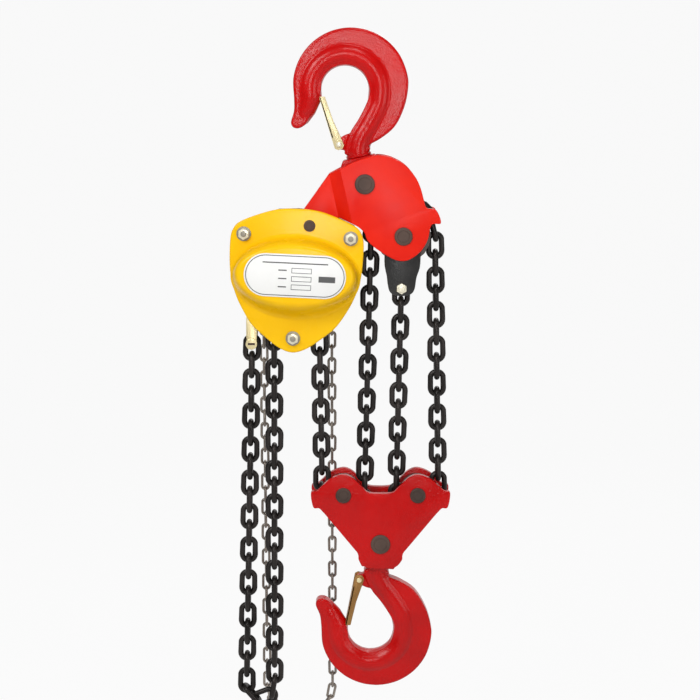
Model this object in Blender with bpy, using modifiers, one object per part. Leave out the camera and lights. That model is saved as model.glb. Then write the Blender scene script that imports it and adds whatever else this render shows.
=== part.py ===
"""A four-fall manual chain hoist, hung by its top hook. X is right, Z is up and the front faces -Y."""

import math

import bmesh
import bpy
from mathutils import Vector

for old in list(bpy.data.objects):
    bpy.data.objects.remove(old)

MM = 0.001
GAP = 0.4

# Upper frame: two plates, joggled in at the left to carry the hoist.
PLATE_IN = 22.0
PLATE_T = 12.0
ARM_IN = 6.5
HOOK_PIN = (33.5, -200.0)
HOOK_PIN_R = 17.0
UPPER_PIN = (99.5, -288.5)
UPPER_PIN_R = 15.5
HANG_PIN_R = 10.0
PIN_PROUD = 3.0

# Hooks, measured from the yoke pin along the shank.
TOP_TILT = -11.9
BOTTOM_TILT = 5.9
BOWL_HEIGHT = 162.0
BOWL_R = 41.5
BACK_OFFSET = 10.5
BACK_R = 98.0
HOOK_HALF = 21.0
HOOK_EDGE = 8.0
SHANK_R = 20.3
NECK_R = 13.6
YOKE_HALF = 34.0
YOKE_TOP = 46.0
YOKE_BRIDGE = 30.0
LATCH_PIVOT = (-29.5, 74.0)
LATCH_SHORT = 2.0
LATCH_LEAN = 5.5
LATCH_HALF = 12.0
LUG_HALF = 9.0

# Hoist body, measured from the shared axis of the load sheave and the hand wheel.
AXIS = (-84.1, -351.2)
BODY_TILT = 2.7
HANG_PIN = (20.0, 82.0)
STAYS = ((-91.0, 63.5), (91.0, 63.5), (0.0, -112.0))
SIDE_IN = 21.5
SIDE_T = 7.0
FLANGE_T = 7.0
DOME_DEPTH = 42.0
WALL = 4.0
STAY_R = 6.0
MODULE = 2.25
PINION_TEETH = 6
WHEEL_TEETH = 40
SHAFT_R = 9.0
WHEEL_POCKETS = 8
HAND_Y = 70.0
RATCHET_TEETH = 12

# Chains.
PITCH = 30.0
WIRE = 9.0
LINK_HALF = 11.5
HAND_PITCH = 23.7
HAND_WIRE = 4.5
HAND_HALF = 6.0
FUSE = 0.2
NODE_GAP = 0.15
SLACK_BOTTOM = -1096.0
HAND_BOTTOM = -1132.0
HAND_SET_BACK = 40.0
RISE_LINKS = 6

# Lower block.
BLOCK_X = 61.6
BLOCK_Z = -739.0
SHEAVE_SPACING = 129.4
LOWER_R = 37.0
UPPER_R = 55.0
LOWER_PIN_R = 13.5
BLOCK_HOOK_PIN = (61.6, -826.2)

ROUND = 14
LOAD_R = 8 * PITCH / (2 * math.pi)
HAND_R = 2 * WHEEL_POCKETS * HAND_PITCH / (2 * math.pi)
LATCH_LENGTH = BOWL_HEIGHT - LATCH_PIVOT[1] - LATCH_SHORT
CENTRES = MODULE * (PINION_TEETH + WHEEL_TEETH) / 2
PLATE_OUT = PLATE_IN + PLATE_T
SIDE_OUT = SIDE_IN + SIDE_T
FLANGE_OUT = SIDE_OUT + FLANGE_T

cutters = bpy.data.collections.new("cutters")
bpy.context.scene.collection.children.link(cutters)


def material(name, colour, metallic, roughness):
    mat = bpy.data.materials.new(name)
    mat.use_nodes = True
    shader = mat.node_tree.nodes["Principled BSDF"]
    shader.inputs["Base Color"].default_value = (*colour, 1.0)
    shader.inputs["Metallic"].default_value = metallic
    shader.inputs["Roughness"].default_value = roughness
    return mat


RED = material("red_paint", (0.62, 0.03, 0.02), 0.0, 0.35)
YELLOW = material("yellow_paint", (0.85, 0.42, 0.03), 0.0, 0.35)
BLACK = material("blackened_chain", (0.03, 0.03, 0.032), 0.8, 0.45)
STEEL = material("bare_steel", (0.35, 0.35, 0.36), 1.0, 0.4)
ZINC = material("zinc", (0.7, 0.7, 0.68), 1.0, 0.3)
BRASS = material("yellow_zinc", (0.62, 0.52, 0.3), 0.9, 0.4)
LINING = material("friction_lining", (0.2, 0.12, 0.07), 0.0, 0.9)
WHITE = material("plate", (0.85, 0.85, 0.83), 0.0, 0.4)


def solid(name, bm, mat, at=(0, 0, 0), turn=0.0):
    """A named object from a bmesh in millimetres, placed at a point and turned about Y."""
    bmesh.ops.recalc_face_normals(bm, faces=bm.faces)
    bmesh.ops.scale(bm, vec=(MM, MM, MM), verts=bm.verts)
    mesh = bpy.data.meshes.new(name)
    bm.to_mesh(mesh)
    bm.free()
    obj = bpy.data.objects.new(name, mesh)
    obj.location = Vector(at) * MM
    obj.rotation_euler = (0, math.radians(turn), 0)
    if mat:
        mesh.materials.append(mat)
        bpy.context.scene.collection.objects.link(obj)
    else:
        obj.hide_render = True
        obj.display_type = "WIRE"
        cutters.objects.link(obj)
    return obj


def combine(obj, other, operation):
    """A Boolean with a helper, which stays hidden."""
    step = obj.modifiers.new(operation.lower(), "BOOLEAN")
    step.operation = operation
    step.solver = "EXACT"
    step.object = other
    return obj


def add_prism(bm, outline, y0, y1):
    rows = []
    for y in (y0, y1):
        rows.append([bm.verts.new((x, y, z)) for x, z in outline])
    bm.faces.new(rows[0])
    bm.faces.new(rows[1][::-1])
    for i in range(len(outline)):
        j = (i + 1) % len(outline)
        bm.faces.new((rows[0][j], rows[0][i], rows[1][i], rows[1][j]))


def prism(name, outline, y0, y1, mat, at=(0, 0, 0), turn=0.0):
    bm = bmesh.new()
    add_prism(bm, outline, y0, y1)
    return solid(name, bm, mat, at, turn)


def ring(radius, count=ROUND, centre=(0, 0), start=0.0):
    points = []
    for i in range(count):
        angle = start + 2 * math.pi * i / count
        points.append((centre[0] + radius * math.cos(angle), centre[1] + radius * math.sin(angle)))
    return points


def box(x0, x1, z0, z1):
    return [(x0, z0), (x1, z0), (x1, z1), (x0, z1)]


def hole(obj, radius, y0, y1, centre=(0, 0), count=ROUND):
    """Cuts a round hole along Y, placed in the object's own frame."""
    outside = radius / math.cos(math.pi / count)
    cutter = prism(obj.name + "_hole", ring(outside, count, centre), y0, y1, None)
    cutter.location = obj.location
    cutter.rotation_euler = obj.rotation_euler
    return combine(obj, cutter, "DIFFERENCE")


def turned(name, profile, mat, at=(0, 0, 0), turn=0.0, count=ROUND, upright=False):
    """A closed (radius, along) profile turned about Y, or about Z where upright."""
    bm = bmesh.new()
    rows = []
    for i in range(count):
        angle = 2 * math.pi * i / count
        row = []
        for radius, along in profile:
            a, b = radius * math.cos(angle), radius * math.sin(angle)
            row.append(bm.verts.new((a, b, along) if upright else (a, along, b)))
        rows.append(row)
    for i in range(count):
        one, two = rows[i], rows[(i + 1) % count]
        for j in range(len(profile)):
            k = (j + 1) % len(profile)
            if profile[j][0] or profile[k][0]:
                bm.faces.new((one[j], one[k], two[k], two[j]))
    bmesh.ops.remove_doubles(bm, verts=bm.verts, dist=1e-4)
    bmesh.ops.dissolve_degenerate(bm, edges=bm.edges, dist=1e-4)
    return solid(name, bm, mat, at, turn)


def rod(name, radius, y0, y1, mat, at=(0, 0, 0), turn=0.0, count=ROUND):
    return prism(name, ring(radius, count), y0, y1, mat, at, turn)


def local(point, centre, turn):
    """A point of a turned frame, in the world's X and Z."""
    angle = math.radians(turn)
    x = point[0] * math.cos(angle) + point[1] * math.sin(angle)
    z = point[1] * math.cos(angle) - point[0] * math.sin(angle)
    return (centre[0] + x, centre[1] + z)


def xyz(point, y=0.0):
    return (point[0], y, point[1])


# Hooks: one forging, used upright and turned over.


def hook_outline():
    high = BOWL_HEIGHT
    outer = [(SHANK_R, YOKE_TOP + 12), (SHANK_R, YOKE_TOP + 16), (42, high - 93), (70, high - 78)]
    outer += [(92, high - 50), (105, high - 20)]
    centre = (BACK_OFFSET, BOWL_HEIGHT + 3.5)
    for degrees in range(0, 181, 20):
        angle = math.radians(degrees)
        outer.append((centre[0] + BACK_R * math.cos(angle), centre[1] + BACK_R * math.sin(angle)))
    nose = [(-92, high - 17), (-101, high - 34), (-100, high - 43), (-94, high - 47), (-86, high - 47)]
    nose += [(-74, high - 40), (-57, high - 15)]
    bowl = []
    for degrees in range(175, 0, -25):
        angle = math.radians(degrees)
        bowl.append((BOWL_R * math.cos(angle), BOWL_HEIGHT + BOWL_R * math.sin(angle)))
    inner = [(BOWL_R - 1.5, high - 12), (24, high - 38), (2, high - 54), (-12, high - 67)]
    inner += [(-SHANK_R, high - 82), (-SHANK_R, YOKE_TOP + 12)]
    return outer + nose + bowl + inner


def flipped(points, flip):
    return [(x, -z) for x, z in points][::-1] if flip else points


def make_hook(end, pin, tilt, flip):
    """A hook with its shank, nut, yoke, latch and latch rivet, about the yoke pin."""
    way = -1 if flip else 1
    at = xyz(pin)
    hook = prism(end + "_hook", flipped(hook_outline(), flip), -HOOK_HALF, HOOK_HALF, RED, at, tilt)
    edge = hook.modifiers.new("forged_edge", "BEVEL")
    edge.width = HOOK_EDGE * MM
    edge.limit_method = "ANGLE"
    edge.angle_limit = math.radians(60)
    edge.segments = 1
    neck = [(0, 64), (SHANK_R, 64), (SHANK_R, YOKE_TOP + GAP), (NECK_R, YOKE_TOP + GAP)]
    neck += [(NECK_R, HOOK_PIN_R + 1.2), (0, HOOK_PIN_R + 1.2)]
    shank = turned(end + "_shank", [(r, way * v) for r, v in neck], None, at, tilt, 16, upright=True)
    combine(hook, shank, "UNION")
    lug = [(-12, 88), (-30, 83), (-36, 78), (-36, 70), (-30, 65), (-12, 60)]
    combine(hook, prism(end + "_lug", flipped(lug, flip), -LUG_HALF, LUG_HALF, None, at, tilt), "UNION")
    pivot = (LATCH_PIVOT[0], way * LATCH_PIVOT[1])
    pivot_at = xyz(local(pivot, pin, tilt))
    head = [(0, 15), (6.5, 15), (6.5, 12.5), (4, 12.5), (4, -12.5), (6.5, -12.5), (6.5, -15), (0, -15)]
    combine(hook, turned(end + "_rivet", head, None, pivot_at, tilt, 10), "UNION")

    nut = [(NECK_R + GAP, YOKE_BRIDGE - GAP), (20, YOKE_BRIDGE - GAP), (20, HOOK_PIN_R + 1.2)]
    nut.append((NECK_R + GAP, HOOK_PIN_R + 1.2))
    turned(end + "_hook_nut", [(r, way * v) for r, v in nut], STEEL, at, tilt, 16, upright=True)

    yoke_line = [(-28, -6), (-16, -24), (16, -24), (28, -6), (YOKE_HALF, 24), (YOKE_HALF, 36)]
    yoke_line += [(28, YOKE_TOP), (-28, YOKE_TOP), (-YOKE_HALF, 36), (-YOKE_HALF, 24)]
    half = PLATE_IN - 0.5
    yoke = prism(end + "_yoke", flipped(yoke_line, flip), -half, half, RED, at, tilt)
    hole(yoke, HOOK_PIN_R + GAP, -30, 30)
    window = flipped(box(-22, 22, HOOK_PIN_R - 4, YOKE_BRIDGE), flip)
    combine(yoke, prism(end + "_window", window, -30, 30, None, at, tilt), "DIFFERENCE")
    bore = [(0, 60), (NECK_R + GAP, 60), (NECK_R + GAP, 20), (0, 20)]
    bored = turned(end + "_bore", [(r, way * v) for r, v in bore], None, at, tilt, 16, upright=True)
    combine(yoke, bored, "DIFFERENCE")

    lean = tilt - way * LATCH_LEAN
    web = flipped(box(-8, -4.6, 13, LATCH_LENGTH), flip)
    latch = prism(end + "_latch", web, -LATCH_HALF, LATCH_HALF, BRASS, pivot_at, lean)
    cheek = flipped([(-8, 44), (-8, -5), (-3, -8), (3, -8), (6.5, -5), (6.5, 5), (-3, 44)], flip)
    for side in (-1, 1):
        edges = sorted((side * (LUG_HALF + GAP), side * LATCH_HALF))
        combine(latch, prism(end + "_cheek", cheek, *edges, None, pivot_at, lean), "UNION")
    hole(latch, 4 + GAP, -30, 30, (0, 0), 10)

    length = PLATE_OUT + PIN_PROUD
    rod(end + "_hook_pin", HOOK_PIN_R, -length, length, STEEL, at)


make_hook("top", HOOK_PIN, TOP_TILT, False)
make_hook("bottom", BLOCK_HOOK_PIN, BOTTOM_TILT, True)

# Upper frame.

BEND_OUT = ((-8.4, -173.7), (11.9, -264.1))
BEND_IN = ((-27.0, -183.0), (-12.0, -254.0))
SPAN_LINE = (
    (20.3, -160.3), (45.6, -152.8), (59.0, -151.1), (79.3, -155.3), (103.0, -168.7), (119.9, -188.9),
    (128.5, -207.4), (133.7, -226.0), (139.0, -240.0), (155.0, -244.0), (163.0, -266.0), (147.0, -269.0),
    (141.0, -293.8), (129.0, -314.0), (110.5, -327.8), (93.5, -330.4), (76.5, -324.4), (49.2, -306.5),
    (37.3, -293.8), (34.0, -277.0), (27.0, -269.0),
)
HANG_AT = local(HANG_PIN, AXIS, BODY_TILT)
ARM_R = 19.0


def arm_line():
    """The arm's edge from the inner bend's lower end, round the hanging pin, to its upper end."""
    points = [(-24.0, -283.0)]
    for degrees in (-70, -110, -150, 170, 130, 100):
        angle = math.radians(degrees)
        points.append((HANG_AT[0] + ARM_R * math.cos(angle), HANG_AT[1] + ARM_R * math.sin(angle)))
    return points + [(-44.0, -222.0)]


def frame_plate(name, side):
    """A plate of three flat areas joined at two bends, thickened along Y."""
    bm = bmesh.new()

    def point(xz, y):
        return bm.verts.new((xz[0], side * y, xz[1]))

    out = [point(p, PLATE_IN) for p in BEND_OUT]
    inn = [point(p, ARM_IN) for p in BEND_IN]
    span = [point(p, PLATE_IN) for p in SPAN_LINE]
    arm = [point(p, ARM_IN) for p in arm_line()]
    faces = [
        bm.faces.new([out[0], *span, out[1]]),
        bm.faces.new([inn[0], out[0], out[1], inn[1]]),
        bm.faces.new([inn[0], inn[1], *arm]),
    ]
    grown = bmesh.ops.extrude_face_region(bm, geom=faces, use_keep_orig=True)
    moved = [item for item in grown["geom"] if isinstance(item, bmesh.types.BMVert)]
    bmesh.ops.translate(bm, verts=moved, vec=(0, side * PLATE_T, 0))
    plate = solid(name, bm, RED)
    for centre, radius in ((HOOK_PIN, HOOK_PIN_R), (UPPER_PIN, UPPER_PIN_R), (HANG_AT, HANG_PIN_R)):
        hole(plate, radius + GAP, -60, 60, centre)
    return plate


frame_plate("upper_front_plate", -1)
frame_plate("upper_rear_plate", 1)


def idler(name, run, pin_r, half, at):
    """A plain grooved sheave: standing links run in the groove, flat links on the shoulders."""
    middle = run * math.cos(PITCH / run / 2)
    groove = middle - LINK_HALF - WIRE / 2 - 1.0
    shoulder = middle - WIRE / 2 - 1.0
    slot = WIRE / 2 + 1.2
    profile = [(pin_r + GAP, half), (shoulder, half), (shoulder, slot), (groove, slot)]
    profile += [(groove, -slot), (shoulder, -slot), (shoulder, -half), (pin_r + GAP, -half)]
    return turned(name, profile, STEEL, at, count=18)


idler("upper_sheave", UPPER_R, UPPER_PIN_R, 17.0, xyz(UPPER_PIN))
PIN_LENGTH = PLATE_OUT + PIN_PROUD
rod("upper_sheave_pin", UPPER_PIN_R, -PIN_LENGTH, PIN_LENGTH, STEEL, xyz(UPPER_PIN))

ANCHOR_BOLT = (97.0, -379.0)
ANCHOR_BOLT_R = 6.0
ANCHOR_LINE = [
    (82.0, -398.0), (112.0, -398.0), (118.0, -380.0), (129.0, -335.0), (127.0, -280.0),
    (112.0, -262.0), (87.0, -262.0), (72.0, -280.0), (68.0, -335.0), (76.0, -380.0),
]
anchor = prism("chain_anchor", ANCHOR_LINE, -21.4, -17.5, BLACK)
combine(anchor, prism("anchor_rear", ANCHOR_LINE, 17.5, 21.4, None), "UNION")
combine(anchor, prism("anchor_bridge", box(74, 122, -358, -349), -21.4, 21.4, None), "UNION")
hole(anchor, UPPER_PIN_R + GAP, -30, 30, UPPER_PIN)
hole(anchor, 6 + GAP, -30, 30, ANCHOR_BOLT, 12)
bolt_head = [(0, 27), (10, 27), (10, 22), (6, 22), (6, -22), (10, -22), (10, -27), (0, -27)]
turned("anchor_bolt", bolt_head, ZINC, xyz(ANCHOR_BOLT), count=12)

# Hoist body.

HALF_LINE = (
    (0.0, 110.0), (35.0, 107.5), (69.0, 97.0), (98.0, 84.0), (109.0, 72.0), (113.5, 55.0), (113.5, 18.0),
    (110.0, -12.0), (101.0, -41.0), (88.0, -67.0), (71.0, -92.0), (47.0, -113.0), (23.0, -130.0),
    (0.0, -137.0),
)
BODY_AT = xyz(AXIS)


def whole_line(shrink=0.0):
    """Both halves of the body's outline, drawn in toward the axis."""
    points = []
    for x, z in HALF_LINE:
        scale = 1 - shrink / math.hypot(x, z)
        points.append((x * scale, z * scale))
    return points + [(-x, z) for x, z in points[-2:0:-1]]


def oval(half_x, half_z, count=20):
    points = []
    for i in range(count):
        angle = 2 * math.pi * i / count
        c, s = math.cos(angle), math.sin(angle)
        points.append((half_x * math.copysign(abs(c) ** 0.9, c), half_z * math.copysign(abs(s) ** 0.9, s)))
    return points


def loft(name, lower, y0, upper, y1, mat):
    """A body between two outlines with the same number of points."""
    bm = bmesh.new()
    rows = [[bm.verts.new((x, y, z)) for x, z in line] for line, y in ((lower, y0), (upper, y1))]
    bm.faces.new(rows[0])
    bm.faces.new(rows[1][::-1])
    for i in range(len(lower)):
        j = (i + 1) % len(lower)
        bm.faces.new((rows[0][j], rows[0][i], rows[1][i], rows[1][j]))
    return solid(name, bm, mat, BODY_AT, BODY_TILT)


DOME_FOOT = (111.0, 72.0)
DOME_TOP = (103.0, 56.0)
FRONT = FLANGE_OUT + DOME_DEPTH

cover = prism("gear_cover", whole_line(), -FLANGE_OUT, -SIDE_OUT - GAP, YELLOW, BODY_AT, BODY_TILT)
dome = loft("dome", oval(*DOME_FOOT), -FLANGE_OUT + 2, oval(*DOME_TOP), -FRONT, None)
combine(cover, dome, "UNION")
room_foot = [side - WALL for side in DOME_FOOT]
room_top = [side - WALL for side in DOME_TOP]
room = loft("dome_room", oval(*room_foot), -SIDE_OUT + 5, oval(*room_top), -FRONT + WALL, None)
combine(cover, room, "DIFFERENCE")
for stay in STAYS:
    hole(cover, STAY_R + GAP, -60, 0, stay, 12)
hole(cover, HANG_PIN_R + GAP, -60, 0, HANG_PIN)
for side in (-1, 0, 1):
    seat = prism("bearing_seat", ring(11, 12, (side * CENTRES, 0)), -FRONT + 1, -64, None, BODY_AT, BODY_TILT)
    combine(cover, seat, "UNION")
for side in (-1, 0, 1):
    hole(cover, 5 + GAP, -FRONT + 5, -40, (side * CENTRES, 0), 12)

plate_line = oval(92.0, 38.0)
prism("name_plate", plate_line, -FRONT - 1.8, -FRONT - GAP, WHITE, BODY_AT, BODY_TILT)

LOAD_HUB_R = 20.0
for name, side in (("front_side_plate", -1), ("rear_side_plate", 1)):
    ends = sorted((side * SIDE_IN, side * SIDE_OUT))
    plate = prism(name, whole_line(3.0), *ends, STEEL, BODY_AT, BODY_TILT)
    hole(plate, LOAD_HUB_R + GAP, -60, 60)
    for stay in STAYS:
        hole(plate, STAY_R + GAP, -60, 60, stay, 12)
    hole(plate, HANG_PIN_R + GAP, -60, 60, HANG_PIN)
    if side < 0:
        for way in (-1, 1):
            hole(plate, 5 + GAP, -60, 0, (way * CENTRES, 0), 12)

REAR_END = SIDE_OUT + FLANGE_T
NUT_T = 9.0
for i, stay in enumerate(STAYS):
    where = xyz(local(stay, AXIS, BODY_TILT))
    front = -FLANGE_OUT - NUT_T
    collar = SIDE_IN - GAP
    line = [(0, REAR_END + NUT_T), (10, REAR_END + NUT_T), (10, REAR_END + GAP), (STAY_R, REAR_END + GAP)]
    line += [(STAY_R, collar), (11, collar), (11, -collar), (STAY_R, -collar)]
    line += [(STAY_R, -FLANGE_OUT - GAP), (14, -FLANGE_OUT - GAP), (14, -FLANGE_OUT - 2.5)]
    line += [(10.5, -FLANGE_OUT - 2.5), (10.5, front), (STAY_R, front), (STAY_R, front - 2), (0, front - 2)]
    turned(f"stay_bolt_{i + 1}", line, ZINC, where, BODY_TILT, 8)

rod("hanging_pin", HANG_PIN_R, -FLANGE_OUT - 2, SIDE_OUT + 2, STEEL, xyz(HANG_AT), BODY_TILT)

# Gear train.


def gear_line(teeth, thin, phase=0.0):
    """Pointed teeth for a wheel and square ones for a pinion, thinned for backlash."""
    pitch_r = MODULE * teeth / 2
    tip, root = pitch_r + MODULE * 0.74, pitch_r - MODULE * 1.15
    step = 2 * math.pi / teeth
    points = []
    for i in range(teeth):
        middle = phase + i * step
        spots = ((-0.5, root), (0.0, tip)) if thin else ((-0.27, root), (-0.06, tip), (0.06, tip), (0.27, root))
        for share, radius in spots:
            angle = middle + share * step
            points.append((radius * math.cos(angle), radius * math.sin(angle)))
    return points


def add_gear(obj, name, teeth, thin, y0, y1, phase=0.0):
    helper = prism(name, gear_line(teeth, thin, phase), y0, y1, None)
    helper.location = obj.location
    helper.rotation_euler = obj.rotation_euler
    return combine(obj, helper, "UNION")


LOAD_GEAR_Y = (-42.0, -31.0)
DISC_Y = (-55.5, -46.5)
HALF_STEP = math.pi / WHEEL_TEETH

SHEAVE_MID = LOAD_R * math.cos(PITCH / LOAD_R / 2)
SHEAVE_GROOVE = SHEAVE_MID - LINK_HALF - WIRE / 2 - 1.0
SHEAVE_FLAT = SHEAVE_MID - WIRE / 2 - 1.0
BORE = SHAFT_R + GAP
slot = WIRE / 2 + 1.2
wide = SIDE_IN - 1.0
sheave_line = [
    (BORE, SIDE_OUT), (LOAD_HUB_R, SIDE_OUT), (LOAD_HUB_R, wide), (SHEAVE_FLAT, wide), (SHEAVE_FLAT, slot),
    (min(SHEAVE_GROOVE, LOAD_HUB_R), slot), (min(SHEAVE_GROOVE, LOAD_HUB_R), -slot), (SHEAVE_FLAT, -slot),
    (SHEAVE_FLAT, -wide), (LOAD_HUB_R, -wide), (LOAD_HUB_R, -44), (BORE, -44),
]
load_sheave = turned("load_sheave", sheave_line, STEEL, BODY_AT, BODY_TILT, 18)
load_gear = prism("load_gear", gear_line(WHEEL_TEETH, True, HALF_STEP), *LOAD_GEAR_Y, STEEL, BODY_AT, BODY_TILT)
hole(load_gear, LOAD_HUB_R + GAP, -60, 0)

for name, side in (("disc_gear_left", -1), ("disc_gear_right", 1)):
    where = xyz(local((side * CENTRES, 0), AXIS, BODY_TILT))
    disc = prism(name, gear_line(WHEEL_TEETH, True, HALF_STEP), *DISC_Y, STEEL, where, BODY_TILT)
    combine(disc, rod(name + "_shaft", 5, -70, -SIDE_IN - 1, None, where, BODY_TILT, 12), "UNION")
    add_gear(disc, name + "_pinion", PINION_TEETH, False, DISC_Y[0] + 4, LOAD_GEAR_Y[1] + 0.5)

shaft = rod("drive_shaft", SHAFT_R, -45.0, 96.0, STEEL, BODY_AT, BODY_TILT, 16)
add_gear(shaft, "drive_pinion", PINION_TEETH, False, DISC_Y[0] - 2, -44.0)
combine(shaft, rod("drive_spigot", 5, -70, -50, None, BODY_AT, BODY_TILT, 12), "UNION")

# Load brake and hand wheel, behind the rear side plate.

HUB_Y = (SIDE_OUT + 2, SIDE_OUT + 8)
for name, start, thick, radius, mat in (
    ("brake_hub", HUB_Y[0], 6.0, 40.0, STEEL),
    ("inner_lining", HUB_Y[1] + GAP, 3.0, 36.0, LINING),
    ("outer_lining", HUB_Y[1] + 12, 3.0, 36.0, LINING),
):
    line = [(BORE, start + thick), (radius, start + thick), (radius, start), (BORE, start)]
    turned(name, line, mat, BODY_AT, BODY_TILT)

RATCHET_TIP = 45.0
RATCHET_ROOT = 38.0
ratchet_line = []
for i in range(RATCHET_TEETH):
    for share, radius in ((-0.08, RATCHET_ROOT), (0.0, RATCHET_TIP)):
        angle = 2 * math.pi * (i + share) / RATCHET_TEETH
        ratchet_line.append((radius * math.cos(angle), radius * math.sin(angle)))
RATCHET_Y = (HUB_Y[1] + 4, HUB_Y[1] + 11)
ratchet = prism("ratchet", ratchet_line, *RATCHET_Y, STEEL, BODY_AT, BODY_TILT)
hole(ratchet, BORE + 3, 0, 80)

WHEEL_FRONT = HUB_Y[1] + 16
WHEEL_BACK = 2 * HAND_Y - WHEEL_FRONT
hand_mid = HAND_R * math.cos(HAND_PITCH / HAND_R / 2)
hand_groove = hand_mid - HAND_HALF - HAND_WIRE / 2 - GAP
hand_flat = hand_mid - HAND_WIRE / 2 - GAP
hand_slot = HAND_WIRE / 2 + 1.2
hand_wide = HAND_HALF + HAND_WIRE / 2 + 1.0
wheel_line = [
    (BORE, WHEEL_BACK), (HAND_R + 10, WHEEL_BACK), (hand_flat, HAND_Y + hand_wide),
    (hand_flat, HAND_Y + hand_slot), (hand_groove, HAND_Y + hand_slot), (hand_groove, HAND_Y - hand_slot),
    (hand_flat, HAND_Y - hand_slot), (hand_flat, HAND_Y - hand_wide), (HAND_R + 10, WHEEL_FRONT),
    (BORE, WHEEL_FRONT),
]
turned("hand_wheel", wheel_line, STEEL, BODY_AT, BODY_TILT, 18)
shaft_nut = [(SHAFT_R + GAP, WHEEL_BACK + 7), (16, WHEEL_BACK + 7), (16, WHEEL_BACK + GAP), (SHAFT_R + GAP, WHEEL_BACK + GAP)]
turned("shaft_nut", shaft_nut, ZINC, BODY_AT, BODY_TILT, 12)

COVER_R = 90.0
BACK = WHEEL_BACK + 14
rear = prism("hand_wheel_cover", ring(COVER_R, 20), SIDE_OUT + GAP, BACK, YELLOW, BODY_AT, BODY_TILT)
flange = prism("rear_flange", whole_line(6.0), SIDE_OUT + GAP, REAR_END, None, BODY_AT, BODY_TILT)
combine(rear, flange, "UNION")
room = prism("wheel_room", ring(COVER_R - WALL, 20), SIDE_OUT - 5, BACK - WALL, None, BODY_AT, BODY_TILT)
combine(rear, room, "DIFFERENCE")
mouth = prism("wheel_mouth", box(-86, 86, -150, -24), HAND_Y - 16, HAND_Y + 16, None, BODY_AT, BODY_TILT)
combine(rear, mouth, "DIFFERENCE")
for stay in STAYS:
    hole(rear, STAY_R + GAP, 0, 60, stay, 12)
hole(rear, HANG_PIN_R + GAP, 0, 60, HANG_PIN)

PAWL_PIVOT = 60.0
for name, degrees in (("pawl_left", 112.0), ("pawl_right", 292.0)):
    angle = math.radians(degrees)
    where = xyz(local((PAWL_PIVOT * math.cos(angle), PAWL_PIVOT * math.sin(angle)), AXIS, BODY_TILT))
    spin = BODY_TILT + 90 - degrees
    pawl_line = [(8, -4), (4, -8), (-6, -8), (-22, -26), (-27, -21), (-11, 5), (0, 9), (7, 6)]
    pawl = prism(name, pawl_line, RATCHET_Y[0] + 0.5, RATCHET_Y[1] - 0.5, STEEL, where, spin)
    hole(pawl, 4 + GAP, 0, 80, (0, 0), 10)
    pin = rod(name + "_pin", 4, SIDE_IN + 2, RATCHET_Y[1] + 3, None, where, spin, 10)
    combine(bpy.data.objects["rear_side_plate"], pin, "UNION")

stripper_line = [(-12, -62), (-5, -44), (5, -44), (12, -62), (12, -80), (-12, -80)]
prism("chain_stripper", stripper_line, GAP - SIDE_IN, SIDE_IN - GAP, STEEL, BODY_AT, BODY_TILT)
TAIL_PIN = (-161.0, -474.0)
TAIL_PIN_R = 5.0
tail_line = [(-170.0, -412.0), (-150.0, -412.0), (-152.0, -462.0), (-154.0, -481.0), (-168.0, -481.0), (-170.0, -462.0)]
tail = prism("tail_bracket", tail_line, GAP - SIDE_IN, SIDE_IN - GAP, ZINC)
gullet = prism("tail_gullet", box(-190, -130, -520, -446), -15, 15, None)
combine(tail, gullet, "DIFFERENCE")
tail_head = [(0, 25), (8, 25), (8, 21), (TAIL_PIN_R, 21), (TAIL_PIN_R, -21), (8, -21), (8, -25), (0, -25)]
combine(tail, turned("tail_pin", tail_head, None, xyz(TAIL_PIN), count=12), "UNION")

# Lower block.

BLOCK_HALF = (
    (0.0, -737.0), (18.0, -735.0), (31.0, -725.0), (49.0, -708.0), (66.0, -702.5), (87.0, -710.0),
    (103.0, -724.0), (111.0, -731.0), (121.0, -734.5), (117.0, -760.0), (107.0, -762.0), (98.0, -774.0),
    (54.0, -819.0), (38.0, -846.0), (36.0, -857.0), (27.0, -867.0), (10.0, -870.0),
)
block_line = [(BLOCK_X + x, z) for x, z in BLOCK_HALF]
block_line += [(BLOCK_X - x, z) for x, z in BLOCK_HALF[:0:-1]]
LOWER_PINS = [(BLOCK_X + side * SHEAVE_SPACING / 2, BLOCK_Z) for side in (-1, 1)]
for name, side in (("lower_front_plate", -1), ("lower_rear_plate", 1)):
    ends = sorted((side * PLATE_IN, side * PLATE_OUT))
    plate = prism(name, block_line, *ends, RED)
    for centre in LOWER_PINS:
        hole(plate, LOWER_PIN_R + GAP, -60, 60, centre)
    hole(plate, HOOK_PIN_R + GAP, -60, 60, BLOCK_HOOK_PIN)
spacer_line = box(BLOCK_X - 9, BLOCK_X + 9, -796, -744)
prism("lower_spacer", spacer_line, GAP - PLATE_IN, PLATE_IN - GAP, RED)
for name, centre in zip(("left", "right"), LOWER_PINS):
    idler(f"lower_{name}_sheave", LOWER_R, LOWER_PIN_R, 21.0, xyz(centre))
    rod(f"lower_{name}_pin", LOWER_PIN_R, -PIN_LENGTH, PIN_LENGTH, STEEL, xyz(centre))

# Chains. A run is a list of straight and round stretches; each link is a chord of it.


def line_run(start, end):
    length = math.dist(start, end)
    return length, lambda s: (
        start[0] + (end[0] - start[0]) * s / length,
        start[1] + (end[1] - start[1]) * s / length,
    )


def arc_run(centre, radius, first, last):
    length = radius * abs(last - first)
    way = math.copysign(1.0, last - first)
    return length, lambda s: (
        centre[0] + radius * math.cos(first + way * s / radius),
        centre[1] + radius * math.sin(first + way * s / radius),
    )


def along(runs, s):
    for length, place in runs:
        if s <= length:
            return place(s)
        s -= length
    return place(length + s)


def in_line(point):
    """The depth of the load chain, which runs in the plane of its sheaves."""
    return 0.0


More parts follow.
